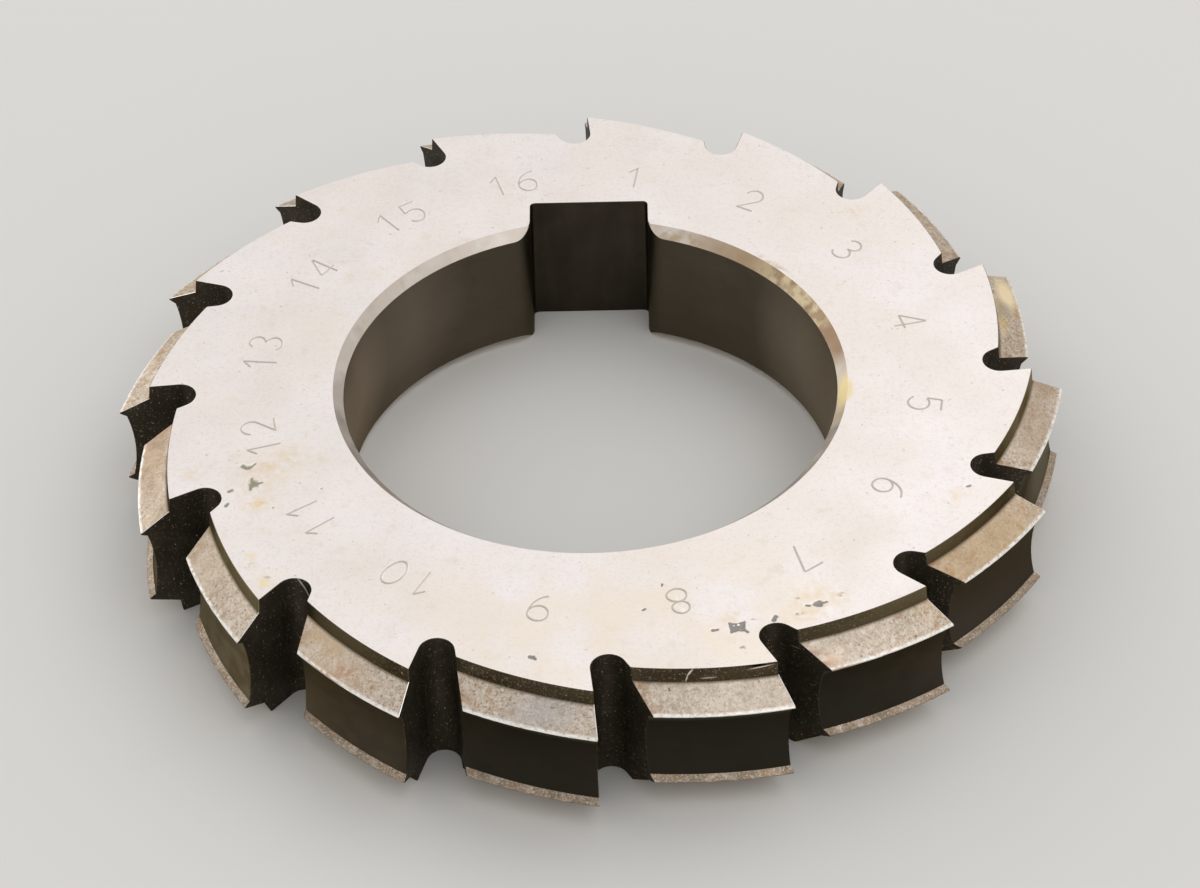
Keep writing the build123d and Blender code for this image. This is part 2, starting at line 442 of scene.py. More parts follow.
# sizes in mm and angles in degrees; the width comes from the frame
cutter = {
    "width": cutterWidth,
    "teeth": 16,
    "firstTooth": 90.5,
    "tipRadius": 38.35,
    "reliefDrop": 3.1,
    "shoulderRadius": 35.75,
    "shoulderFlare": 0.13,
    "flankAngle": 27,
    "hornSpacing": 6.95,
    "hornLand": 0.12,
    "hornHeight": 0.52,
    "hornLean": 0.30,
    "hornRounding": 0.1,
    "coreRadius": 13.125,
    "rake": 5,
    "gashAngle": 25,
    "gashDepth": 6.4,
    "gashRoot": 1.35,
    "edgeBreak": 0.04,
    "cornerBreak": 0.05,
    "toothSteps": 44,
    "wallSteps": 4,
    "rootSteps": 14,
    "shoulderSteps": 3,
    "flankWear": [      # part of the way from the shoulder to the horn, and how worn it is there
        (0, 0), (0.09, 0), (0.3, 0), (0.5, 0), (0.7, 0), (0.84, 0.04), (0.91, 0.2), (0.96, 0.6),
    ],
    "hornSteps": 8,
    "dullHornSteps": 2,     # the last steps round a horn, which face the hollow
    "innerWear": 0.3,
    "hollowSteps": 12,
    "wearDepth": 0.03,
    "wearGrain": 0.6,
    "wearDetail": 3.0,
    "wearSeed": 3.0,
    "wearRange": (0.45, 0.8),   # where the noise starts to bite and bites whole
    "weldDistance": 0.001,
    "sharpAngle": 17,       # between faces that meet in an edge
}
finishes = list(finishMaterials)


# the rows of a tooth from the upper face down, each with its distance from the relief axis,
# its height above the middle of the cutter, the finish of the strip below it and its wear
def sectionRows(c, offset):
    half = c["width"] / 2
    shoulder = hypot(c["shoulderRadius"], offset)
    foot = shoulder + c["shoulderFlare"]
    tip = hypot(c["tipRadius"], offset)
    slope = radians(c["flankAngle"])
    hornMiddle = c["hornSpacing"] / 2
    footHeight = hornMiddle + c["hornLand"] / 2 + (tip - foot) * tan(slope)
    rounding = c["hornRounding"]
    innerSlope = atan2(c["hornLean"], c["hornHeight"])
    hollowEnd = tip - c["hornHeight"]
    hollowHeight = hornMiddle - c["hornLand"] / 2 - c["hornLean"]

    upper = [(shoulder, half, "turnedShoulder", 0.0)]
    top = half - c["edgeBreak"]
    for k in range(c["shoulderSteps"]):
        part = k / c["shoulderSteps"]
        height = top + (footHeight - top) * part
        upper.append((shoulder + c["shoulderFlare"] * part, height, "turnedShoulder", 0.0))
    endRadius = tip - rounding + rounding * sin(slope)
    endHeight = hornMiddle + rounding * cos(slope)
    for part, wear in c["flankWear"]:
        radius = foot + (endRadius - foot) * part
        height = footHeight + (endHeight - footHeight) * part
        upper.append((radius, height, "relievedFlank", wear))
    for k in range(c["hornSteps"] + 1):
        turn = pi / 2 - slope - (pi - slope - innerSlope) * k / c["hornSteps"]
        radius = tip - rounding + rounding * cos(turn)
        finish = "hornEdge" if k < c["hornSteps"] - c["dullHornSteps"] else "hornInside"
        upper.append((radius, hornMiddle + rounding * sin(turn), finish, 1.0))
    start = upper[-1]
    middle = ((start[0] + hollowEnd) / 2, (start[1] + hollowHeight) / 2)
    upper.append((*middle, "hornInside", c["innerWear"]))

    hollow = []
    for k in range(c["hollowSteps"] + 1):
        height = hollowHeight * (1 - 2 * k / c["hollowSteps"])
        sag = sqrt(c["coreRadius"] ** 2 - height**2) - sqrt(c["coreRadius"] ** 2 - hollowHeight**2)
        finish = "toothHollow" if k < c["hollowSteps"] else "hornInside"
        hollow.append((hollowEnd - sag, height, finish, 0.0))

    lower = []  # the upper half turned over, with horns that look dull in the shade
    for k in range(len(upper) - 1, -1, -1):
        row = upper[k]
        finish = upper[k - 1][2].replace("hornEdge", "hornInside")
        lower.append((row[0], -row[1], finish, row[3]))
    return upper + hollow + lower


def turned(point, angle):  # about the bore axis
    x, y = point[0], point[1]
    return (x * cos(angle) - y * sin(angle), x * sin(angle) + y * cos(angle))


# the angle, seen from the relief axis, at which a circle round it meets a wall of a gash
def wallAngle(distance, offset, start, heading):
    x, y = start[0], start[1] - offset
    along = x * heading[0] + y * heading[1]
    reach = -along + sqrt(along**2 - (x * x + y * y - distance**2))
    return atan2(y + reach * heading[1], x + reach * heading[0])


# the outline moved into the steel, which leaves a small bevel round the side face
def insetOutline(columns, pitch, distance):
    last = len(columns) - 1
    moved = []
    for k, (x, y, along, wear) in enumerate(columns):
        before = columns[k - 1] if k else turned(columns[last - 1], -pitch)
        after = columns[k + 1] if k < last else turned(columns[1], pitch)
        first = Vector((y - before[1], before[0] - x)).normalized()  # normal of the run before
        second = Vector((after[1] - y, x - after[0])).normalized()
        shift = (first + second) * distance / (1 + first.dot(second))
        moved.append((x - shift.x, y - shift.y, along, 0.0))
    return moved


# one tooth with its tips on +X and the gash ahead of it: rows of x, y, how far the point is
# along the tooth from its cutting edge at 0 to its heel at 1, and its wear
def sectorGrid(c):
    offset = c["reliefDrop"] / radians(360 / c["teeth"])
    rows = sectionRows(c, offset)
    pitch = radians(360 / c["teeth"])
    rake, gash = radians(c["rake"]), radians(c["gashAngle"])
    along = (cos(rake), sin(rake))
    rootStart = c["gashRoot"] - c["gashDepth"]
    apex = rootStart - c["gashRoot"] / tan(gash / 2)

    def rakePoint(reach, rise=0.0):  # from the tip along the rake face, and across it
        x = c["tipRadius"] + along[0] * reach - along[1] * rise
        return (x, along[1] * reach + along[0] * rise)

    heelStart = turned(rakePoint(apex), -pitch)
    heelHeading = (cos(rake + gash - pitch), sin(rake + gash - pitch))
    grid = []
    for row in rows:
        distance, wear = row[0], row[3]
        edge = wallAngle(distance, offset, rakePoint(0), along)
        heel = wallAngle(distance, offset, heelStart, heelHeading)
        cut = c["cornerBreak"] / distance
        columns = []
        for k in range(c["toothSteps"] + 1):
            part = k / c["toothSteps"]
            angle = heel + cut + (edge - heel - 2 * cut) * part
            x, y = distance * cos(angle), offset + distance * sin(angle)
            columns.append((x, y, 1 - part, wear))
        edgeX, edgeY = distance * cos(edge), offset + distance * sin(edge)
        edgeReach = (edgeX - c["tipRadius"]) * along[0] + edgeY * along[1] - c["cornerBreak"]
        for k in range(c["wallSteps"]):
            reach = edgeReach + (rootStart - edgeReach) * k / c["wallSteps"]
            columns.append((*rakePoint(reach), 0.0, 0.0 if k else wear / 2))
        for k in range(c["rootSteps"] + 1):
            turn = radians(270) - (pi - gash) * k / c["rootSteps"]
            reach = rootStart + c["gashRoot"] * cos(turn)
            columns.append((*rakePoint(reach, c["gashRoot"] * (1 + sin(turn))), 0.0, 0.0))
        rootEnd = columns[-1]
        heelPoint = (distance * cos(heel), offset + distance * sin(heel))
        heelX, heelY = turned(heelPoint, pitch)
        length = hypot(heelX - rootEnd[0], heelY - rootEnd[1])
        for k in range(1, c["wallSteps"] + 1):
            part = k / c["wallSteps"] * (1 - c["cornerBreak"] / length)
            x = rootEnd[0] + (heelX - rootEnd[0]) * part
            y = rootEnd[1] + (heelY - rootEnd[1]) * part
            columns.append((x, y, 1.0, wear / 2 if k == c["wallSteps"] else 0.0))
        columns.append((*turned(columns[0], pitch), 1.0, wear))
        grid.append(columns)
    grid[0] = insetOutline(grid[1], pitch, c["edgeBreak"])
    grid[-1] = insetOutline(grid[-2], pitch, c["edgeBreak"])
    return grid, rows


def stripFaces(rows, columns):
    faces = []
    for i in range(rows - 1):
        for j in range(columns - 1):
            a, b = i * columns + j, (i + 1) * columns + j
            faces.append((a, b, b + 1, a + 1))
    return faces


# the finish of the cutting edge beside each surface of a tooth
cornerFinish = {
    "turnedShoulder": "turnedShoulder",
    "relievedFlank": "hornEdge",
    # the hollow's cutting edge takes the lighter shoulder finish, a painted highlight on the corner
    "toothHollow": "turnedShoulder",
}


def sectorObject(c):
    grid, rows = sectorGrid(c)
    columns = len(grid[0])
    points = []
    for i, line in enumerate(grid):
        height = (c["width"] / 2 + rows[i][1]) * mm
        points += [(point[0] * mm, point[1] * mm, height) for point in line]
    mesh = bpy.data.meshes.new("tooth_sector")
    mesh.from_pydata(points, [], stripFaces(len(grid), columns))
    gash = finishes.index("gashWall")
    labels = []
    for i in range(len(grid) - 1):
        own = finishes.index(rows[i][2])
        corner = finishes.index(cornerFinish.get(rows[i][2], "hornInside"))
        labels += [own] * c["toothSteps"] + [corner] + [gash] * (columns - c["toothSteps"] - 2)
    mesh.attributes.new("finish", "INT", "FACE").data.foreach_set("value", labels)
    for key, place in (("along", 2), ("wear", 3)):
        values = [point[place] for line in grid for point in line]
        mesh.attributes.new(key, "FLOAT", "POINT").data.foreach_set("value", values)
    dark = {"turnedShoulder", "relievedFlank"}  # they meet in a corner, and the flank beside it gets painted shade
    cornerShades = [float({rows[i - 1][2], rows[i][2]} == dark) for i in range(len(rows))]
    values = [foot for foot in cornerShades for k in range(columns)]
    mesh.attributes.new("foot", "FLOAT", "POINT").data.foreach_set("value", values)
    sector = bpy.data.objects.new("tooth_sector", mesh)
    scene.collection.objects.link(sector)
    return sector


# Geometry Nodes: turns the one sector round the bore axis, welds the ring and wears its horns
def toothRingTree(c):
    tree = bpy.data.node_groups.new("toothRing", "GeometryNodeTree")
    face = tree.interface
    face.new_socket("Geometry", in_out="INPUT", socket_type="NodeSocketGeometry")
    face.new_socket("Teeth", in_out="INPUT", socket_type="NodeSocketInt")
    for name in ("First Tooth", "Weld Distance", "Wear Depth", "Wear Grain", "Wear Seed"):
        face.new_socket(name, in_out="INPUT", socket_type="NodeSocketFloat")
    face.new_socket("Geometry", in_out="OUTPUT", socket_type="NodeSocketGeometry")
    given = node(tree, "NodeGroupInput").outputs

    places = node(tree, "GeometryNodePoints", {"Count": given["Teeth"]})
    index = node(tree, "GeometryNodeInputIndex")
    pitch = node(tree, "ShaderNodeMath", {0: 2 * pi, 1: given["Teeth"]}, operation="DIVIDE")
    turn = node(
        tree,
        "ShaderNodeMath",
        {0: index.outputs[0], 1: pitch.outputs[0], 2: given["First Tooth"]},
        operation="MULTIPLY_ADD",
    )
    spin = node(tree, "FunctionNodeAxisAngleToRotation", {"Axis": (0, 0, 1), "Angle": turn.outputs[0]})
    ring = node(
        tree,
        "GeometryNodeInstanceOnPoints",
        {"Points": places.outputs[0], "Instance": given["Geometry"], "Rotation": spin.outputs[0]},
    )
    real = node(tree, "GeometryNodeRealizeInstances", {"Geometry": ring.outputs[0]})
    weld = {"Geometry": real.outputs[0], "Distance": given["Weld Distance"]}
    welded = node(tree, "GeometryNodeMergeByDistance", weld)

    scale = node(tree, "ShaderNodeMath", {0: 1.0, 1: given["Wear Grain"]}, operation="DIVIDE")
    grain = node(
        tree,
        "ShaderNodeTexNoise",
        {"W": given["Wear Seed"], "Scale": scale.outputs[0], "Detail": c["wearDetail"]},
        noise_dimensions="4D",
    )
    start, whole = c["wearRange"]
    bite = node(
        tree,
        "ShaderNodeMapRange",
        {"Value": grain.outputs[0], "From Min": start, "From Max": whole, "To Max": -1.0},
    )
    worn = node(tree, "GeometryNodeInputNamedAttribute", {"Name": "wear"}, data_type="FLOAT")
    share = node(
        tree, "ShaderNodeMath", {0: bite.outputs[0], 1: worn.outputs[0]}, operation="MULTIPLY"
    )
    depth = node(
        tree, "ShaderNodeMath", {0: share.outputs[0], 1: given["Wear Depth"]}, operation="MULTIPLY"
    )
    normal = node(tree, "GeometryNodeInputNormal")
    push = {0: normal.outputs[0], "Scale": depth.outputs[0]}
    shift = node(tree, "ShaderNodeVectorMath", push, operation="SCALE")
    shaped = node(
        tree, "GeometryNodeSetPosition", {"Geometry": welded.outputs[0], "Offset": shift.outputs[0]}
    )

    label = node(tree, "GeometryNodeInputNamedAttribute", {"Name": "finish"}, data_type="INT")
    current = shaped.outputs[0]
    for k, name in enumerate(finishes):
        compared = {2: label.outputs[0], 3: k}
        chosen = node(tree, "FunctionNodeCompare", compared, data_type="INT", operation="EQUAL")
        dress = {"Geometry": current, "Selection": chosen.outputs[0], "Material": finishMaterials[name]}
        current = node(tree, "GeometryNodeSetMaterial", dress).outputs[0]
    node(tree, "NodeGroupOutput", {"Geometry": current})
    return tree


def toothRing(c):
    sector = sectorObject(c)
    tree = toothRingTree(c)
    step = sector.modifiers.new("tooth_ring", "NODES")
    step.node_group = tree
    values = {
        "Teeth": c["teeth"],
        "First Tooth": radians(c["firstTooth"]),
        "Weld Distance": c["weldDistance"] * mm,
        "Wear Depth": c["wearDepth"] * mm,
        "Wear Grain": c["wearGrain"] * mm,
        "Wear Seed": c["wearSeed"],
    }
    for socket in tree.interface.items_tree:
        if socket.in_out == "INPUT" and socket.name in values:
            step[socket.identifier] = values[socket.name]
    depsgraph = bpy.context.evaluated_depsgraph_get()
    mesh = bpy.data.meshes.new_from_object(sector.evaluated_get(depsgraph))
    bpy.data.objects.remove(sector)
    return mesh


ringMesh = toothRing(cutter)
print("tooth ring made, faces:", len(ringMesh.polygons))

# the bore with its chamfers and keyway, in mm
bore = {
    "radius": 20,
    "chamfer": 0.8,
    "keyHalfWidth": 5,
    "keyFloor": 23.3,
    "keyCorner": 0.4,
    "keyMouth": 2.0,
    "edgeBreak": 0.05,
    "boreSteps": 150,
    "mouthSteps": 14,
    "cornerSteps": 5,
    "sideSteps": 6,
    "floorSteps": 16,
}


# the outline of bore and keyway, clockwise from above and from the right of the keyway's mouth:
# x, y, the way into the steel, and whether it is the keyway
def boreOutline(b):
    half, mouth, corner = b["keyHalfWidth"], b["keyMouth"], b["keyCorner"]
    mouthY = sqrt((b["radius"] + mouth) ** 2 - (half + mouth) ** 2)
    start = atan2(mouthY, half + mouth)
    line = []
    for k in range(b["boreSteps"]):
        angle = start - (pi + 2 * start) * k / b["boreSteps"]
        wayX, wayY = cos(angle), sin(angle)
        line.append((b["radius"] * wayX, b["radius"] * wayY, wayX, wayY, False))
    left = []
    for k in range(b["mouthSteps"]):
        turn = -start + start * k / b["mouthSteps"]
        wayX, wayY = -cos(turn), -sin(turn)
        left.append((-half - mouth - mouth * wayX, mouthY - mouth * wayY, wayX, wayY, False))
    top = b["keyFloor"] - corner
    heights = [mouthY + (top - mouthY) * k / b["sideSteps"] for k in range(b["sideSteps"])]
    left += [(-half, y, -1, 0, True) for y in heights]
    for k in range(b["cornerSteps"] + 1):
        turn = pi - pi / 2 * k / b["cornerSteps"]
        wayX, wayY = cos(turn), sin(turn)
        left.append((corner - half + corner * wayX, top + corner * wayY, wayX, wayY, True))
    reach, steps = half - corner, b["floorSteps"]
    flat = [(2 * reach * k / steps - reach, b["keyFloor"], 0, 1, True) for k in range(1, steps)]
    right = [(-x, y, -wayX, wayY, inKeyway) for x, y, wayX, wayY, inKeyway in reversed(left[1:])]
    return line + left + flat + right


# the bore, its chamfers and the keyway as one band of strips from the upper rim to the lower
def addBoreBand(body, b, width):
    outline = boreOutline(b)
    wallStrips = (3, 4)  # the two between the chamfers
    skin = b["edgeBreak"]
    rim = b["radius"] + b["chamfer"]
    columns = []
    for point in outline:
        x, y, wayX, wayY = point[:4]
        reach = hypot(x, y)
        grow = max(1, (rim - skin) / reach)  # from the wall out to the upper edge of the chamfer
        edgeX, edgeY = x + wayX * skin, y + wayY * skin
        edgeGrow = max(1, rim / hypot(edgeX, edgeY))
        crease = min(width - rim + reach, width - 2 * skin)
        upper = [
            (edgeX * edgeGrow, edgeY * edgeGrow, width),
            (x * grow, y * grow, width - skin),
            (x * (1 + grow) / 2, y * (1 + grow) / 2, (width - skin + crease) / 2),
            (x, y, crease),
        ]
        lower = [(px, py, width - pz) for px, py, pz in reversed(upper)]
        column = upper + [(x, y, width / 2)] + lower
        columns.append([body.verts.new(Vector(point) * mm) for point in column])
    for j, near in enumerate(columns):
        after = (j + 1) % len(columns)
        keyed = outline[j][4] or outline[after][4]
        turnedOff = min(hypot(*outline[k][:2]) for k in (j, after)) < rim - skin
        for i in range(len(near) - 1):
            made = body.faces.new((near[i], near[i + 1], columns[after][i + 1], columns[after][i]))
            wall = i in wallStrips or not turnedOff
            finish = ("keywayWall" if keyed else "boreWall") if wall else "boreChamfer"
            made.material_index = materialIndex[finish]


# an arc of a digit: middle, half width, half height, and angles in degrees
def arcPoints(x, y, halfWidth, halfHeight, start, end, steps=14):
    turns = [radians(start + (end - start) * k / steps) for k in range(steps + 1)]
    return [(x + halfWidth * cos(turn), y + halfHeight * sin(turn)) for turn in turns]


# plain tooth numbers, one by each tooth; a stroke is a run of points in a box 0.6 wide and 1 high
digitStrokes = {
    "0": [arcPoints(0.3, 0.5, 0.29, 0.5, 90, 450, 28)],
    "1": [[(0.1, 0.76), (0.34, 1), (0.34, 0)]],
    "2": [arcPoints(0.3, 0.7, 0.28, 0.3, 165, -38) + [(0.02, 0), (0.6, 0)]],
    "3": [
        arcPoints(0.29, 0.76, 0.25, 0.24, 150, -90) + arcPoints(0.29, 0.26, 0.3, 0.26, 90, -150)[1:]
    ],
    "4": [[(0.46, 0), (0.46, 1), (0, 0.28), (0.62, 0.28)]],
    "5": [[(0.54, 1), (0.1, 1), (0.05, 0.56)] + arcPoints(0.28, 0.32, 0.31, 0.32, 128, -145)],
    "6": [arcPoints(0.3, 0.3, 0.29, 0.3, 180, 540, 28), arcPoints(0.56, 0.3, 0.55, 0.7, 180, 96)],
    "7": [[(0, 1), (0.6, 1), (0.2, 0)]],
    "8": [
        arcPoints(0.3, 0.76, 0.24, 0.24, 90, 450, 26), arcPoints(0.3, 0.26, 0.29, 0.26, 90, 450, 28)
    ],
    "9": [arcPoints(0.3, 0.7, 0.29, 0.3, 0, 360, 28), arcPoints(0.04, 0.7, 0.55, 0.7, 0, -84)],
}
engraving = {
    "height": 2.7,
    "digitMiddle": 0.3,     # across a digit's box
    "baseRadius": 25.7,
    "spacing": 2.55,
    "behindTip": 9.0,       # degrees
    "grooveWidth": 0.24,
    "grooveDepth": 0.045,
    "pointSpacing": 0.12,
    "fineSteps": 4,         # between two points, to measure the groove by
}


def engravedStrokes(e, c):
    middleRadius = e["baseRadius"] + e["height"] / 2
    strokes = []
    for tooth in range(c["teeth"]):
        text = str(tooth + 1)
        middle = radians(c["firstTooth"] - e["behindTip"] - tooth * 360 / c["teeth"])
        for place, digit in enumerate(text):
            shift = (place - (len(text) - 1) / 2) * e["spacing"]
            for stroke in digitStrokes[digit]:
                line = []
                for x, y in stroke:
                    radius = e["baseRadius"] + y * e["height"]
                    across = shift + (x - e["digitMiddle"]) * e["height"]
                    angle = middle - across / middleRadius
                    line.append((radius * cos(angle), radius * sin(angle)))
                strokes.append(line)
    return strokes


def spacedPoints(line, spacing):  # the same stroke in even steps
    slack = 1e-9  # for rounding
    lengths = [hypot(b[0] - a[0], b[1] - a[1]) for a, b in zip(line, line[1:])]
    count = max(2, round(sum(lengths) / spacing))
    points = []
    for k in range(count + 1):
        rest = sum(lengths) * k / count
        for (a, b), length in zip(zip(line, line[1:]), lengths):
            if rest <= length + slack:
                break
            rest -= length
        part = min(1, rest / length)
        points.append((a[0] + (b[0] - a[0]) * part, a[1] + (b[1] - a[1]) * part))
    return points


# pits and stains of the upper face as the photo shows them, in mm: a pit or a mossy pit is a run
# of points with its half width, a patch is an outline that rust has eaten, and a spared spot in
# it or a stain is a place with its size
upperMarks = {
    "pit": [
        ([(9.0, -29.5), (9.35, -29.45)], 0.13),
        ([(13.6, -28.5), (13.75, -28.15)], 0.2),
        ([(16.1, -27.0), (16.35, -27.05)], 0.12),
        ([(16.95, -26.9), (17.1, -26.85)], 0.34),
        ([(17.1, -26.9), (17.65, -26.65)], 0.12),
        ([(11.5, -29.65), (11.6, -29.75)], 0.12),
        ([(-4.6, -31.95), (-4.45, -32.0)], 0.2),
        ([(-4.45, -32.0), (-4.2, -32.2)], 0.12),
        ([(3.8, -27.2), (4.0, -27.05)], 0.08),
        ([(5.3, -24.6), (5.33, -24.4)], 0.08),
    ],
    "moss": [
        ([(-27.45, -9.95), (-27.1, -10.2), (-26.8, -10.1)], 0.2),
        ([(-26.8, -10.1), (-26.45, -9.7)], 0.11),
        ([(-26.5, -11.9), (-26.4, -12.15)], 0.36),
        ([(-26.6, -11.45), (-26.65, -12.75)], 0.14),
        ([(-26.45, -12.1), (-25.8, -11.95)], 0.13),
        ([(-28.3, -12.9), (-28.1, -12.8)], 0.17),
        ([(-28.45, -14.6), (-28.3, -14.4)], 0.16),
        ([(-24.75, -14.9), (-24.7, -14.9)], 0.09),
        ([(-21.1, -12.8), (-21.05, -12.75)], 0.08),
        ([(29.3, -14.0), (29.5, -13.9)], 0.12),
    ],
    "patches": [
        [
            (10.2, -28.7), (10.8, -28.8), (11.46, -28.55),
            (11.45, -29.65), (10.9, -29.6), (10.35, -29.85),
        ],
    ],
    "spared": [(10.95, -28.95, 0.16), (10.6, -29.05, 0.12), (11.1, -29.5, 0.08)],
    "stains": [
        (-25.8, -11.1, 2.0), (-23.6, -9.1, 1.3), (-31.3, -10.9, 0.9), (17.0, -26.3, 1.9),
        (16.2, -27.6, 1.2), (10.3, -28.3, 0.8), (28.3, -15.0, 0.9), (-24.9, -23.4, 0.7),
        (-26.1, -21.4, 0.6), (-26.2, -14.5, 1.0), (22.7, 21.4, 0.9), (18.6, -25.9, 0.7),
    ],
    "pitDepth": 0.05,
}
lowerMarks = {  # a few, since the photo doesn't show this side
    "pit": [([(12.0, 27.5), (12.3, 27.6)], 0.22), ([(-20.5, 19.0), (-20.4, 19.3)], 0.16)],
    "moss": [([(26.0, -12.5), (26.3, -12.2)], 0.24), ([(-8.0, -28.0), (-7.9, -28.1)], 0.14)],
    "patches": [],
    "spared": [],
    "stains": [(13.5, 26.0, 2.0), (-22.0, 17.0, 1.6), (25.0, -10.5, 2.4)],
    "pitDepth": 0.04,
}
pitShape = {
    "ragged": 0.45,         # what the noise adds to a pit's share, or takes
    "raggedScale": 3.4,     # of the noise, for each mm
    "raggedSeed": 0.7,
    "reach": 1.35,          # half widths from a pit's run to its end
    "patchRim": 0.5,        # share on the outline of a patch
    "rimWidth": 0.12,       # mm
    "sparedCore": 0.6,      # part of a spared spot that stays whole
    "sparedRise": 2.4,
    "margin": 1.7,          # half widths round a run that get fine points
    "patchMargin": 0.2,     # mm
    "pointSpacing": 0.09,   # mm
}


def runDistance(x, y, run):  # to the nearest place on a run of points
    best = hypot(x - run[0][0], y - run[0][1])
    for (ax, ay), (bx, by) in zip(run, run[1:]):
        dx, dy = bx - ax, by - ay
        part = min(1, max(0, ((x - ax) * dx + (y - ay) * dy) / (dx * dx + dy * dy)))
        best = min(best, hypot(x - ax - dx * part, y - ay - dy * part))
    return best


def pitShare(x, y, marks, kind, p):  # 0 beside a pit to 1 at its bottom
    place = Vector((x * p["raggedScale"], y * p["raggedScale"], p["raggedSeed"]))
    ragged = p["ragged"] * noise.noise(place)
    shares = [p["reach"] - runDistance(x, y, run) / size + ragged for run, size in marks[kind]]
    share = max(shares, default=0)
    if kind == "pit":
        for patch in marks["patches"]:
            edge = runDistance(x, y, patch + patch[:1])
            deep = edge if insideOutline((x, y), [patch]) else -edge
            share = max(share, p["patchRim"] + deep / p["rimWidth"] + ragged)
        for spotX, spotY, size in marks["spared"]:
            away = hypot(x - spotX, y - spotY) / size
            share = min(share, p["sparedRise"] * (away - p["sparedCore"]))
    return min(1, max(0, share))


def stainShare(x, y, marks):  # 0 on clean steel to 1 in the middle of a stain
    share = 0.0
    for stainX, stainY, size in marks["stains"]:
        share += exp(-((hypot(x - stainX, y - stainY) / size) ** 2))
    return min(1, share)


def pitPoints(marks, p):  # a fine grid of points over every pit
    places = [(run, size * p["margin"]) for run, size in marks["pit"] + marks["moss"]]
    places += [(patch, p["patchMargin"]) for patch in marks["patches"]]
    step = p["pointSpacing"]
    points = set()
    for run, margin in places:
        xs, ys = zip(*run)
        for i in range(int((min(xs) - margin) / step) - 1, int((max(xs) + margin) / step) + 2):
            for j in range(int((min(ys) - margin) / step) - 1, int((max(ys) + margin) / step) + 2):
                points.add((i * step, (j + 0.5 * (i % 2)) * step))
    return sorted(points)


# how a side face is made of triangles
faceMesh = {
    "grid": 0.75,           # mm between points where nothing is finer
    "rowStep": 0.866,       # of the grid, from one row to the next
    "clearance": 0.45,      # of the grid, round a point that is there already
    "margin": 0.1,          # mm, past the keyway and before the gashes
    "level": 1e-7,          # m, for the height of the rims
    "merge": 1e-5,          # mm, for points that meet
}
faceAttributes = ("stroke", "pit", "moss", "tarnish")  # what its finish reads from its corners


# the points and edges that mark out the grooves, added to those of the face, and the fine
# points down the middle of every groove
def groovePoints(strokes, e, f, points, edges):
    half = e["grooveWidth"] / 2
    centres = []
    for stroke in strokes:
        line = spacedPoints(stroke, e["pointSpacing"] / e["fineSteps"])
        centres += line
        stations = line[::e["fineSteps"]]
        if stations[-1] != line[-1]:
            stations[-1] = line[-1]
        first, last = len(points), len(stations) - 1
        points += stations
        edges += [(first + k, first + k + 1) for k in range(last)]
        for k, (x, y) in enumerate(stations):
            before, after = stations[max(0, k - 1)], stations[min(last, k + 1)]
            dx, dy = after[0] - before[0], after[1] - before[1]
            size = hypot(dx, dy)
            if size < f["merge"]:
                continue
            dx, dy = dx / size * half, dy / size * half
            points += [(x - dy, y + dx), (x + dy, y - dx)]
            if k in (0, last):
                way = 1 if k else -1
                points.append((x + way * dx, y + way * dy))
    return centres


def treeOf(points):
    tree = KDTree(max(1, len(points)))
    for k, (x, y) in enumerate(points):
        tree.insert((x, y, 0), k)
    tree.balance()
    return tree


# even points over the ring between bore and shoulders, clear of those that are there
def gridPoints(points, f):
    near = treeOf(points)
    step = f["grid"]
    outer, inner = cutter["shoulderRadius"], bore["radius"] + bore["chamfer"]
    rows = int(outer / (step * f["rowStep"])) + 1
    even = []
    for j in range(-rows, rows + 1):
        for i in range(-rows, rows + 1):
            x, y = (i + 0.5 * (j % 2)) * step, j * step * f["rowStep"]
            if inner < hypot(x, y) < outer and near.find((x, y, 0))[2] > step * f["clearance"]:
                even.append((x, y))
    return even


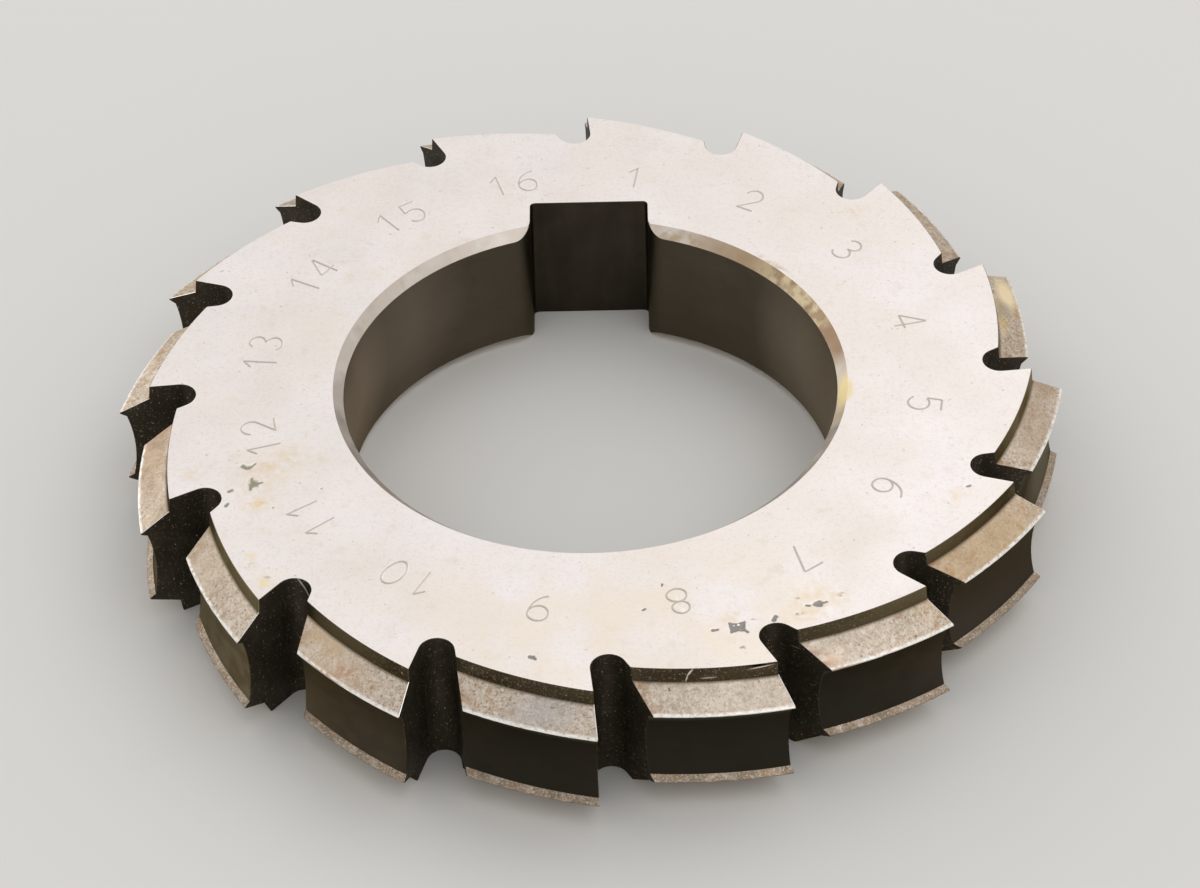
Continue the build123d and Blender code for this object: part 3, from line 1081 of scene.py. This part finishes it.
# a side face from the outlines that bound it, with pits, stains and engraved strokes
def addSideFace(body, height, marks, strokes, f):
    bounds = [
        edge for edge in body.edges
        if edge.is_boundary and all(abs(vert.co.z - height) < f["level"] for vert in edge.verts)
    ]
    corners = list(dict.fromkeys(vert for edge in bounds for vert in edge.verts))
    order = {vert: k for k, vert in enumerate(corners)}
    points = [(vert.co.x / mm, vert.co.y / mm) for vert in corners]
    edges = [(order[edge.verts[0]], order[edge.verts[1]]) for edge in bounds]
    centres = groovePoints(strokes, engraving, f, points, edges)
    points += pitPoints(marks, pitShape)
    points += gridPoints(points, f)
    made = delaunay_2d_cdt([Vector(point) for point in points], edges, [], 0, f["merge"])
    verts, triangles, origins = made[0], made[2], made[3]

    outline = [[(vert.co.x / mm, vert.co.y / mm) for vert in loop] for loop in boundaryLoops(bounds)]
    grooves = treeOf(centres)
    half = engraving["grooveWidth"] / 2
    side = 1 if height > 0 else -1
    clearInner = hypot(bore["keyHalfWidth"], bore["keyFloor"]) + f["margin"]
    clearOuter = cutter["tipRadius"] - cutter["gashDepth"] - f["margin"]
    layers = {key: body.verts.layers.float[key] for key in faceAttributes}
    placed = {}

    def vertAt(k):
        if k in placed:
            return placed[k]
        known = [origin for origin in origins[k] if origin < len(corners)]
        x, y = verts[k]
        if known:
            vert = corners[known[0]]
        else:
            stroke = max(0, 1 - grooves.find((x, y, 0))[2] / half) if centres else 0
            pit, moss = (pitShare(x, y, marks, kind, pitShape) for kind in ("pit", "moss"))
            depth = max(stroke * engraving["grooveDepth"], max(pit, moss) * marks["pitDepth"])
            vert = body.verts.new((x * mm, y * mm, height - side * depth * mm))
            vert[layers["stroke"]] = stroke
            vert[layers["pit"]] = pit
            vert[layers["moss"]] = moss
        vert[layers["tarnish"]] = stainShare(x, y, marks)
        placed[k] = vert
        return vert

    count = 0
    for triangle in triangles:
        middle = [sum(verts[k][axis] for k in triangle) / 3 for axis in (0, 1)]
        if clearInner < hypot(*middle) < clearOuter or insideOutline(middle, outline):
            face = body.faces.new([vertAt(k) for k in triangle][::side])
            face.material_index = materialIndex["groundFace"]
            count += 1
    print("side face at", round(height / mm, 2), "mm:", count, "triangles")


# the edges chained into closed loops of corners
def boundaryLoops(edges):
    links = {}
    for edge in edges:
        for vert in edge.verts:
            links.setdefault(vert, []).append(edge.other_vert(vert))
    loops = []
    while links:
        start, (after, before) = links.popitem()
        loop = [start]
        while after is not start:
            loop.append(after)
            a, b = links.pop(after)
            after = b if a is loop[-2] else a
        loops.append(loop)
    return loops


def insideOutline(point, outline):
    x, y = point
    inside = False
    for loop in outline:
        for (ax, ay), (bx, by) in zip(loop, loop[1:] + loop[:1]):
            if (ay > y) != (by > y) and x < ax + (y - ay) * (bx - ax) / (by - ay):
                inside = not inside
    return inside


def buildCutter():
    width = cutter["width"]
    body = bmesh.new()
    body.from_mesh(ringMesh)
    for key in faceAttributes:
        body.verts.layers.float.new(key)
    addBoreBand(body, bore, width)
    addSideFace(body, width * mm, upperMarks, engravedStrokes(engraving, cutter), faceMesh)
    addSideFace(body, 0.0, lowerMarks, [], faceMesh)
    bmesh.ops.recalc_face_normals(body, faces=body.faces)
    print("open edges:", sum(len(edge.link_faces) != 2 for edge in body.edges))
    print("volume in mm3:", round(body.calc_volume(signed=True) / mm**3))
    body.faces.layers.int.remove(body.faces.layers.int["finish"])
    for face in body.faces:
        face.smooth = True
    mesh = bpy.data.meshes.new("relieved_cutter")
    body.to_mesh(mesh)
    body.free()
    for material in ringMesh.materials:
        mesh.materials.append(material)
    mesh.set_sharp_from_angle(angle=radians(cutter["sharpAngle"]))
    piece = bpy.data.objects.new("relieved_cutter", mesh)
    scene.collection.objects.link(piece)
    return piece


for material in finishMaterials.values():  # the ring has no use for some of them
    if material.name not in ringMesh.materials:
        ringMesh.materials.append(material)
materialIndex = {
    key: ringMesh.materials.find(material.name) for key, material in finishMaterials.items()
}
relievedCutter = buildCutter()
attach(relievedCutter, "root")
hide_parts("spline_cutter")
print("cutter built, faces:", len(relievedCutter.data.polygons))

# the studio, with sizes in m
studio = {
    "floorSize": 3.0,
    "floorColour": "#dedcd8",
    "floorRoughness": 0.9,
    "floorShine": 0.2,
    "worldColour": "#ffffff",
    "worldStrength": 0.78,
    "lamps": [      # place, size and watts; each faces the cutter
        ((0.30, 0.42, 0.80), 0.8, 1.1),
        ((0.30, -0.30, 0.80), 0.5, 0.5),
        ((-0.60, 0.70, 0.40), 0.6, 1.1),
    ],
}


def buildStudio(s):
    half = s["floorSize"] / 2
    mesh = bpy.data.meshes.new("studio_floor")
    corners = [(-half, -half, 0), (half, -half, 0), (half, half, 0), (-half, half, 0)]
    mesh.from_pydata(corners, [], [(0, 1, 2, 3)])
    floor = bpy.data.objects.new("studio_floor", mesh)
    scene.collection.objects.link(floor)
    paint = bpy.data.materials.new("matt_studio_card")
    paint.use_nodes = True
    tree = paint.node_tree
    tree.nodes.clear()
    card = {
        "Base Color": srgb(s["floorColour"]),
        "Roughness": s["floorRoughness"],
        "Specular IOR Level": s["floorShine"],
    }
    shader = node(tree, "ShaderNodeBsdfPrincipled", card)
    node(tree, "ShaderNodeOutputMaterial", {"Surface": shader.outputs[0]})
    mesh.materials.append(paint)

    world = bpy.data.worlds.new("studio")
    world.use_nodes = True
    world.node_tree.nodes.clear()
    sky = {"Color": srgb(s["worldColour"]), "Strength": s["worldStrength"]}
    light = node(world.node_tree, "ShaderNodeBackground", sky)
    node(world.node_tree, "ShaderNodeOutputWorld", {"Surface": light.outputs[0]})
    scene.world = world
    for place, size, watts in s["lamps"]:
        data = bpy.data.lights.new("soft_box", "AREA")
        data.shape = "SQUARE"
        data.size = size
        data.energy = watts
        lamp = bpy.data.objects.new("soft_box", data)
        lamp.location = place
        lamp.rotation_euler = (-Vector(place)).to_track_quat("-Z", "Y").to_euler()
        scene.collection.objects.link(lamp)


buildStudio(studio)
scene.view_settings.view_transform = "Standard"
print("studio set")
